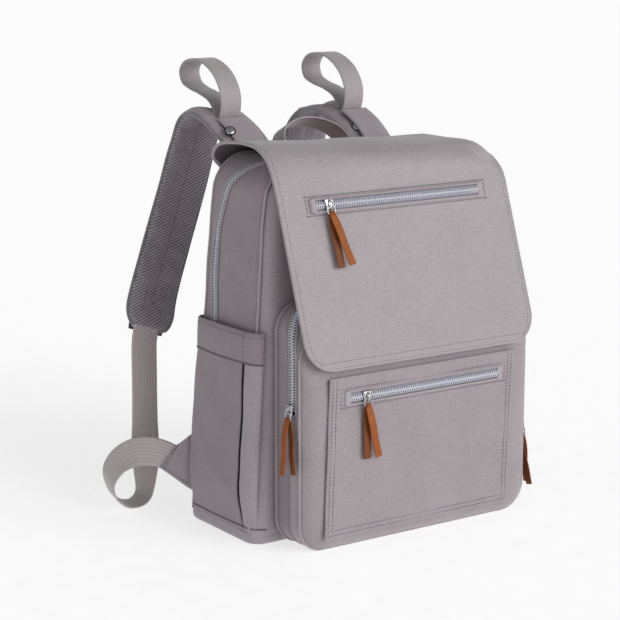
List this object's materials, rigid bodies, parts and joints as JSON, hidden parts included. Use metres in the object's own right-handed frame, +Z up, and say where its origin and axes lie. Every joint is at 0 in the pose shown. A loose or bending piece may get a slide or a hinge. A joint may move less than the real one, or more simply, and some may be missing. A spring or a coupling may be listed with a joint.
{
  "type": "diaper backpack",
  "caption": "Soft baby-care backpack with a zipped main compartment, fold-over flap, zipped front pocket, side pockets, padded straps and stroller loops.",
  "frame": {"origin": "middle of the flat underside, on the surface the bag stands on", "axes": "+Z up, the front pocket faces -Y, +X is to the right when seen from the front"},
  "size_m": [0.4474, 0.3432, 0.4564],
  "materials": {
    "fabric_front": "matte",
    "fabric_side": "matte",
    "strap_mesh": "matte",
    "webbing": "satin",
    "zip_tape": "satin",
    "metal": "polished",
    "leather": "satin",
    "board": "matte"
  },
  "bodies": {
    "bag": {"base_panel": "fabric_side", "back_panel": "fabric_side", "front_panel_lower": "fabric_front", "left_side_panel": "fabric_side", "right_side_panel": "fabric_side", "rear_gusset": "fabric_front", "main_zip_rear": "zip_tape", "base_board": "board", "back_foam": "board", "pocket_gusset": "fabric_side", "pocket_zip_rear": "zip_tape", "pocket_front_lower": "fabric_front", "patch_lower": "fabric_front", "left_side_pocket": "fabric_side", "right_side_pocket": "fabric_side", "left_pocket_band": "fabric_side", "right_pocket_band": "fabric_side", "strap_yoke": "fabric_side", "left_anchor_tab": "fabric_side", "right_anchor_tab": "fabric_side", "left_webbing": "webbing", "right_webbing": "webbing", "flap_root": "fabric_front"},
    "flap_crown": {"flap_crown": "fabric_front"},
    "flap_front": {"flap_front": "fabric_front", "flap_zip": "zip_tape"},
    "flap_slider": {"flap_pull_slider": "metal"},
    "flap_pull": {"flap_pull_ring": "metal", "flap_pull_leather": "leather"},
    "main_front": {"front_gusset": "fabric_front", "front_panel_upper": "fabric_front", "main_zip_front": "zip_tape"},
    "pocket_front": {"pocket_front_upper": "fabric_front", "pocket_zip_front": "zip_tape", "patch_upper": "fabric_front", "patch_zip": "zip_tape"},
    "patch_slider": {"patch_pull_slider": "metal"},
    "patch_ring": {"patch_pull_ring": "metal"},
    "patch_pull": {"patch_pull_leather": "leather"},
    "left_pocket_slider": {"left_pocket_pull_slider": "metal"},
    "left_pocket_pull": {"left_pocket_pull_ring": "metal", "left_pocket_pull_leather": "leather"},
    "right_pocket_slider": {"right_pocket_pull_slider": "metal"},
    "right_pocket_pull": {"right_pocket_pull_ring": "metal", "right_pocket_pull_leather": "leather"},
    "left_main_slider": {"left_main_slider": "metal", "left_main_tab": "leather"},
    "right_main_slider": {"right_main_slider": "metal", "right_main_tab": "leather"},
    "left_strap": {"left_strap_pad": "strap_mesh", "left_loop_tab": "fabric_front", "left_snap": "metal"},
    "left_stroller_loop": {"left_stroller_loop": "webbing"},
    "right_strap": {"right_strap_pad": "strap_mesh", "right_loop_tab": "fabric_front", "right_snap": "metal"},
    "right_stroller_loop": {"right_stroller_loop": "webbing"},
    "handle": {"handle": "webbing"}
  },
  "joints": [
    {"name": "flap_open", "type": "hinge", "parent": "bag", "child": "flap_crown", "pos_m": [0, 0.0525, 0.383], "axis": [-1, 0, 0], "range_deg": [0, 100]},
    {"name": "flap_fold", "type": "hinge", "parent": "flap_crown", "child": "flap_front", "pos_m": [0, -0.037, 0.379], "axis": [-1, 0, 0], "range_deg": [0, 75]},
    {"name": "flap_zip_slide", "type": "slide", "parent": "flap_front", "child": "flap_slider", "axis": [1, 0, 0], "range_m": [0, 0.17]},
    {"name": "flap_pull_swing", "type": "hinge", "parent": "flap_slider", "child": "flap_pull", "pos_m": [-0.086, -0.06775, 0.33221], "axis": [-1, 0, 0], "range_deg": [0, 80]},
    {"name": "main_front_open", "type": "hinge", "parent": "bag", "child": "main_front", "pos_m": [0, -0.0505, 0.256], "axis": [1, 0, 0], "range_deg": [0, 25]},
    {"name": "pocket_front_open", "type": "hinge", "parent": "bag", "child": "pocket_front", "pos_m": [0, -0.1076, 0.108], "axis": [0.9778, 0, -0.2095], "range_deg": [0, 40]},
    {"name": "patch_zip_slide", "type": "slide", "parent": "pocket_front", "child": "patch_slider", "axis": [1, 0, 0], "range_m": [0, 0.145]},
    {"name": "patch_ring_hang", "type": "hinge", "parent": "patch_slider", "child": "patch_ring", "pos_m": [-0.073, -0.1125, 0.1505], "axis": [-1, 0, 0], "range_deg": [0, 40]},
    {"name": "patch_pull_swing", "type": "hinge", "parent": "patch_ring", "child": "patch_pull", "pos_m": [-0.073, -0.1125, 0.1435], "axis": [-1, 0, 0], "range_deg": [0, 70]},
    {"name": "left_pocket_zip_slide", "type": "slide", "parent": "bag", "child": "left_pocket_slider", "axis": [0, 0, 1], "range_m": [0, 0.055]},
    {"name": "left_pocket_pull_swing", "type": "hinge", "parent": "left_pocket_slider", "child": "left_pocket_pull", "pos_m": [-0.1453, -0.085, 0.1415], "axis": [0, 1, 0], "range_deg": [0, 110]},
    {"name": "right_pocket_zip_slide", "type": "slide", "parent": "bag", "child": "right_pocket_slider", "axis": [0, 0, 1], "range_m": [0, 0.115]},
    {"name": "right_pocket_pull_swing", "type": "hinge", "parent": "right_pocket_slider", "child": "right_pocket_pull", "pos_m": [0.1453, -0.085, 0.0815], "axis": [0, -1, 0], "range_deg": [0, 110]},
    {"name": "left_main_zip_slide", "type": "slide", "parent": "main_front", "child": "left_main_slider", "axis": [-1, 0, 0], "range_m": [0, 0.085]},
    {"name": "right_main_zip_slide", "type": "slide", "parent": "main_front", "child": "right_main_slider", "axis": [1, 0, 0], "range_m": [0, 0.085]},
    {"name": "left_strap_swing", "type": "hinge", "parent": "bag", "child": "left_strap", "pos_m": [-0.073, 0.07, 0.348], "axis": [1, 0, 0], "range_deg": [0, 25]},
    {"name": "left_loop_fold", "type": "hinge", "parent": "left_strap", "child": "left_stroller_loop", "pos_m": [-0.078, 0.129, 0.402], "axis": [1, 0, 0], "range_deg": [0, 25]},
    {"name": "right_strap_swing", "type": "hinge", "parent": "bag", "child": "right_strap", "pos_m": [0.073, 0.07, 0.348], "axis": [1, 0, 0], "range_deg": [0, 25]},
    {"name": "right_loop_fold", "type": "hinge", "parent": "right_strap", "child": "right_stroller_loop", "pos_m": [0.078, 0.129, 0.402], "axis": [1, 0, 0], "range_deg": [0, 25]},
    {"name": "handle_swing", "type": "hinge", "parent": "bag", "child": "handle", "pos_m": [0, 0.078, 0.352], "axis": [1, 0, 0], "range_deg": [-40, 22]}
  ],
  "couplings": [
    {"joint": "main_front_open", "follows": "flap_open", "ratio": 0.25},
    {"joint": "pocket_front_open", "follows": "flap_open", "ratio": 0.4},
    {"joint": "patch_ring_hang", "follows": "flap_open", "ratio": 0.4}
  ]
}
